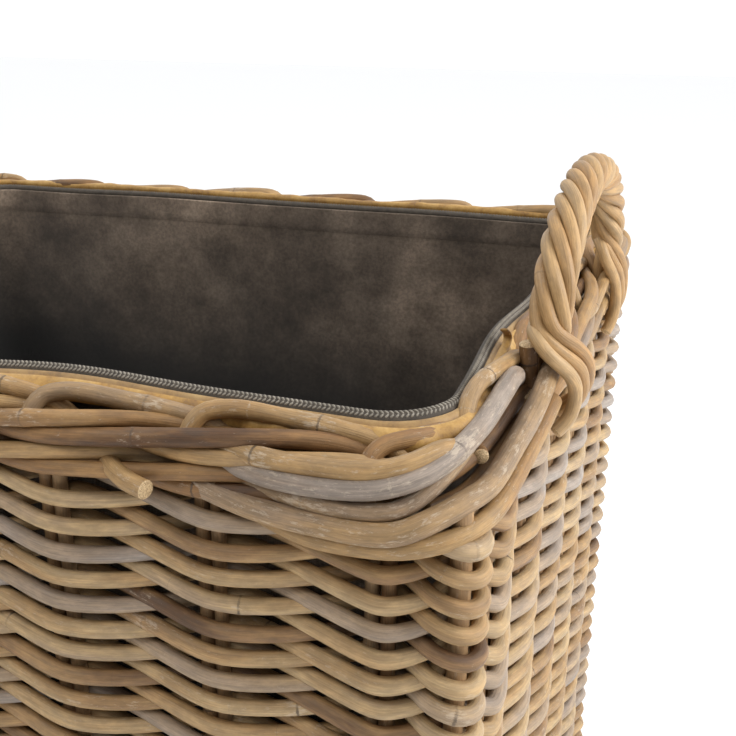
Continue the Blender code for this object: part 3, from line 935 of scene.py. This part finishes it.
SLACK = (
    # Where the liner's edge hangs slack: place on the rim, spread along it and how far it moves in.
    (78, -186, 38, 5.2),
    (-120, -186, 44, 4.0),
    (227, -66, 36, 4.2),
    (227, 95, 40, 3.0),
    (100, 186, 50, 3.5),
    (-60, 186, 45, 4.2),
    (-227, 20, 55, 4.0),
)


def edge_sway(x, y):
    """How far the liner's top edge moves inwards at each place; it rides up by half as much."""
    total = np.zeros(len(x))
    for middle_x, middle_y, spread, depth in SLACK:
        total += depth * np.exp(-((x - middle_x) ** 2 + (y - middle_y) ** 2) / (2 * spread**2))
    return total + 0.5 * np.sin(x / 19.0 + y / 27.0)


def liner_rings(along, ring, normals):
    """Rings of points down the liner's walls and in across its floor. The walls have a doubled hem,
    folds, and slack between the corners."""
    top = RIM - 3.5
    heights = [top, top - 1, top - 3, top - 7, top - 11, top - 14.5, top - 15.4, top - 16.2, top - 18]
    heights += list(np.linspace(top - 24, LINER_FLOOR + 14, 44))
    rows = []
    for z in heights:
        below = top - z
        hem = 0.9 if below < 15 else (0.0 if below > 16 else 0.15)
        hang = min(1.0, max(0.0, (below - 12) / 90.0)) * min(1.0, (z - LINER_FLOOR) / 60.0)
        fold = hang * (
            2.6 * np.sin(along / 37.0 + 0.6 * np.sin(z / 60.0))
            + 1.8 * np.sin(along / 17.0 + z / 95.0)
            + 2.0 * np.sin(z / 46.0 + along / 120.0)
        )
        sway = edge_sway(ring[:, 0], ring[:, 1]) * max(0.0, 1 - below / 60.0)
        inward = np.maximum(0.4, 1.0 + sway + fold)
        xy = ring - normals * (inward + hem * 0.6)[:, None]
        rows.append(lean(np.column_stack((xy, z + 0.5 * sway))))
    last = rows[-1]
    for share, rise in ((0.985, 7), (0.965, 3), (0.93, 1.3), (0.8, 1.0), (0.55, 1.4), (0.3, 1.0), (0.1, 1.2)):
        inner = last.copy()
        inner[:, :2] *= share
        inner[:, 2] = LINER_FLOOR + rise
        rows.append(inner)
    return rows


def build_liner(material):
    """The canvas liner: four walls and a floor in one cloth. Each point keeps its place on the cloth
    for the weave's threads."""
    along, ring, normals = rim_outline(LINER_INSET, LINER_CORNER, 6.0)
    rows = liner_rings(along, ring, normals)
    count = len(ring)
    faces = ring_faces(len(rows), count)
    centre = len(rows) * count
    points = np.vstack((*rows, [[0, 0, LINER_FLOOR + 1.2]]))
    base = centre - count
    faces += [(base + j, base + (j + 1) % count, centre) for j in range(count)]
    cloth = np.zeros((len(points), 3))
    down = 0.0
    for r in range(len(rows)):
        if r:
            down += np.linalg.norm(rows[r] - rows[r - 1], axis=1).mean()
        cloth[r * count : (r + 1) * count, 0] = along
        cloth[r * count : (r + 1) * count, 1] = down
    faces = [face[::-1] for face in faces]
    piece = make_piece("canvas_liner", points, faces, material, ["liner"], {"cloth": cloth})
    thicken(piece, LINER_CLOTH, -1)
    return piece


def ribbon(name, profile, inset, corner, material, replaces, ripple=None, back_rise=0.0):
    """A flat strip round the rim. profile gives (outward, up) places across it, ripple moves them, and
    the strip stands back_rise higher along the back."""
    along, ring, normals = rim_outline(inset, corner, 2.5)
    sway = edge_sway(ring[:, 0], ring[:, 1])
    rise = back_rise * np.clip((ring[:, 1] - 140) / 35, 0, 1)
    rows = []
    for place, (out, up) in enumerate(profile):
        shift = np.zeros(len(ring)) if ripple is None else ripple(along, place)
        xy = ring + normals * (out - sway + shift)[:, None]
        z = RIM + up + 0.4 * shift + 0.5 * sway + rise
        rows.append(np.column_stack((xy, z)))
    faces = ring_faces(len(rows), len(ring))
    thicken(make_piece(name, np.vstack(rows), faces, material, replaces), STRIP_THICKNESS, 0)


def build_tape(dark, thread):
    """The woven tape over the liner's top edge: a dark band with two rows of slanting pale stitches."""
    _, ring, normals = rim_outline(TAPE_INSET, LINER_CORNER, 1.9)
    sway = edge_sway(ring[:, 0], ring[:, 1])
    points, faces = [], []
    sides = 6
    # Each stitch is a short spindle: places of its rings along it, and their sizes.
    spindle = ((-1.0, 0.15), (-0.55, 0.52), (0.55, 0.52), (1.0, 0.15))
    for row, slant in ((-0.75, 0.7), (0.75, -0.7)):
        for i in range(len(ring)):
            outward = np.array((normals[i][0], normals[i][1], 0.0))
            tangent = np.array((-normals[i][1], normals[i][0], 0.0))
            across = outward * 0.75 + np.array((0.0, 0.0, -0.66))
            up = np.cross(tangent, across)
            edge = np.array((ring[i][0], ring[i][1], RIM - 1.3 + 0.5 * sway[i]))
            middle = edge + across * row - outward * sway[i]
            direction = tangent * 0.66 + across * slant
            sideways = np.cross(up, direction)
            first = len(points)
            for step, size in spindle:
                for j in range(sides):
                    angle = 2 * math.pi * j / sides
                    shift = sideways * math.cos(angle) * size + up * math.sin(angle) * size
                    points.append(middle + direction * step * 1.15 + shift)
            faces += ring_faces(len(spindle), sides, first)
            faces.append(tuple(first + j for j in range(sides))[::-1])
            faces.append(tuple(first + 3 * sides + j for j in range(sides)))
    make_piece("tape_stitches", points, faces, thread, ["liner_tape"])
    profile = [(-2.9, -4.4), (-2.7, -1.9), (-1.6, -0.9), (0.0, -1.5), (1.3, -3.2), (1.4, -5.5)]
    ribbon("tape_band", profile, TAPE_INSET, LINER_CORNER, dark, ["liner_tape"])


def build_edging(leather, peel):
    """Outside the tape: a plain tan strip, then a rough golden strip of split cane."""
    profile = [(-0.4, -7.0), (-0.2, -3.8), (0.5, -3.3), (1.6, -4.0), (2.8, -5.8), (3.2, -8.0)]
    ribbon("tan_edge_strip", profile, LINER_INSET - 2.6, LINER_CORNER, leather,
           ["edging_strip"])

    def ripple(along, place):
        """A slow wander and a fine raggedness, both stronger towards the strip's outer edge."""
        wander = np.sin(along / 23.0) + 0.6 * np.sin(along / 9.1 + 2.0) + 0.4 * np.sin(along / 4.7)
        ragged = np.sin(along / 2.3 + 1.3 * np.sin(along / 11.0))
        return (0.15 + 0.28 * place) * wander + 0.16 * place * ragged

    outer = [(-0.4, -8.0), (0.2, -5.0), (1.6, -4.2), (3.2, -5.4), (4.8, -8.2), (5.6, -12.0)]
    ribbon("split_cane_strip", outer, LINER_INSET - 4.8, LINER_CORNER - 2, peel,
           ["edging_strip"], ripple=ripple, back_rise=6.5)
    # A loose end of the strip stands up beside the right-hand handle's foot.
    bundle = Bundle()
    curl = [(228, -128, 395), (229, -112, 396.5), (229.8, -98, 397), (230.2, -88, 398),
            (230.4, -84, 401), (230.2, -86, 404), (229.6, -89, 406)]
    bundle.rod(through(curl, 1.5), 2.0, 0.5, sides=12, flatten=0.35, bumps=0.6)
    bundle.build("split_cane_curl", peel, "tan_edging", ["edging_strip"])


# ---- base

def build_base(material):
    """The woven base: sticks along the length with rods passing over and under them."""
    bundle = Bundle()
    half_x, half_y = 224.0, 184.0
    level = 17.6
    sticks = 9
    for i in range(sticks):
        y = -half_y + 2 * half_y * (i + 0.5) / sticks
        points = resample(np.array([(-half_x, y, level), (half_x, y, level)]), 8)
        bundle.rod(points, 2.9, pick_tint(), sides=8)
    rods = 66
    for i in range(rods):
        x = -half_x + 2 * half_x * (i + 0.5) / rods
        y = np.arange(-half_y, half_y, 6.0)
        phase = math.pi * ((y + half_y) / (2 * half_y) * sticks + i)
        z = level + 2.4 * np.sin(phase)
        bundle.rod(np.column_stack((np.full(len(y), x), y, z)), 1.9, pick_tint(), sides=6)
    bundle.build("base_rods", material, "rattan_weave", ["woven_base"])


# ---- everything

weave_cane = rattan("weave_cane", WEAVE_COLOURS, scuffs=0.8)
border_cane = rattan("border_cane", BORDER_COLOURS, scuffs=0.9)
stake_cane = rattan("stake_cane", STAKE_COLOURS, scuffs=0.5, shine=0.55)
handle_cane = rattan("handle_cane", HANDLE_COLOURS, scuffs=0.25, shine=0.40, node_dark=0.4)
canvas = canvas_material()
tape_dark = cloth_material("tape_brown", [
    (0.35, (0.035, 0.028, 0.021)),
    (0.65, (0.085, 0.068, 0.051)),
], 300, sheen=0.0)
tape_thread = cloth_material("tape_thread", [
    (0.30, (0.130, 0.115, 0.092)),
    (0.70, (0.340, 0.305, 0.255)),
], 160, sheen=0.0)
leather = cloth_material("tan_edging", [
    (0.30, (0.150, 0.082, 0.028)),
    (0.50, (0.290, 0.172, 0.060)),
    (0.70, (0.400, 0.262, 0.102)),
], 90, roughness=0.62, sheen=0.1)
peel = cloth_material("split_cane", [
    (0.34, (0.190, 0.092, 0.022)),
    (0.50, (0.380, 0.212, 0.052)),
    (0.66, (0.520, 0.325, 0.105)),
], 70, roughness=0.6, sheen=0.1)
wood = wood_material()

build_weave(weave_cane)
build_waling(border_cane)
build_foot(weave_cane)
build_stakes(stake_cane)
build_border(border_cane)
for side, sign in (("right", 1), ("left", -1)):
    strands = [f"handle_{side}_strand_{k + 1}" for k in range(STRANDS)]
    build_handle(f"handle_rope_{side}", sign, handle_cane, strands)
liner = build_liner(canvas)
build_tape(tape_dark, tape_thread)
build_edging(leather, peel)
build_base(weave_cane)

for slat in ("base_slat_1", "base_slat_2", "base_slat_3"):
    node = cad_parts[slat]
    node.data.materials.clear()
    node.data.materials.append(wood)


# ---- stage, light and camera

def build_stage():
    """A pale floor, half a millimetre below the basket's foot."""
    bpy.ops.mesh.primitive_plane_add(size=12, location=(0, 0, -0.0005))
    floor = bpy.context.object
    floor.name = "studio_floor"
    look = Shading("pale_floor")
    look.shader.inputs["Base Color"].default_value = (0.93, 0.93, 0.93, 1.0)
    look.shader.inputs["Roughness"].default_value = 0.8
    floor.data.materials.append(look.material)


def area_light(name, place, target, size, power, colour):
    """A soft round lamp that shines from its place towards the target."""
    data = bpy.data.lights.new(name, "AREA")
    data.shape = "DISK"
    data.size = size
    data.energy = power
    data.color = colour
    lamp = bpy.data.objects.new(name, data)
    bpy.context.scene.collection.objects.link(lamp)
    lamp.location = place
    direction = np.array(target) - np.array(place)
    tilt = math.atan2(math.hypot(direction[0], direction[1]), -direction[2])
    turn = math.atan2(direction[1], direction[0]) - math.pi / 2
    lamp.rotation_euler = (tilt, 0, turn)


def build_light():
    """A white studio, bright overhead and behind the basket and dim in front of it, with two soft lamps."""
    world = bpy.data.worlds.new("soft_studio")
    bpy.context.scene.world = world
    world.use_nodes = True
    tree = world.node_tree
    background = tree.nodes["Background"]
    background.inputs["Color"].default_value = (0.98, 0.99, 1.0, 1.0)
    direction = tree.nodes.new("ShaderNodeTexCoord").outputs["Generated"]
    facing = tree.nodes.new("ShaderNodeVectorMath")
    facing.operation = "DOT_PRODUCT"
    facing.inputs[1].default_value = (0.10, 0.62, 0.78)
    tree.links.new(direction, facing.inputs[0])
    # The world's strength rises from dim to bright as a direction turns towards that vector.
    level = tree.nodes.new("ShaderNodeMapRange")
    level.interpolation_type = "SMOOTHSTEP"
    for title, value in (("From Min", -0.45), ("From Max", 0.55), ("To Min", 0.14), ("To Max", 1.22)):
        level.inputs[title].default_value = value
    tree.links.new(facing.outputs["Value"], level.inputs["Value"])
    tree.links.new(level.outputs["Result"], background.inputs["Strength"])
    bpy.context.scene.view_settings.view_transform = "Standard"
    area_light("key", (-0.8, -1.1, 1.9), (0.1, -0.1, 0.3), 0.8, 12, (1.0, 0.96, 0.90))
    area_light("side", (1.8, 0.2, 1.2), (0.2, 0.0, 0.3), 1.2, 34, (1.0, 0.99, 0.97))


def build_camera():
    data = bpy.data.cameras.new("camera")
    data.lens = 58.7
    data.sensor_width = 36
    camera = bpy.data.objects.new("camera", data)
    bpy.context.scene.collection.objects.link(camera)
    camera.location = (0.331, -0.586, 0.559)
    camera.rotation_euler = (math.pi / 2 - 0.3267, 0, 0.3192)
    bpy.context.scene.camera = camera


build_stage()
build_light()
build_camera()
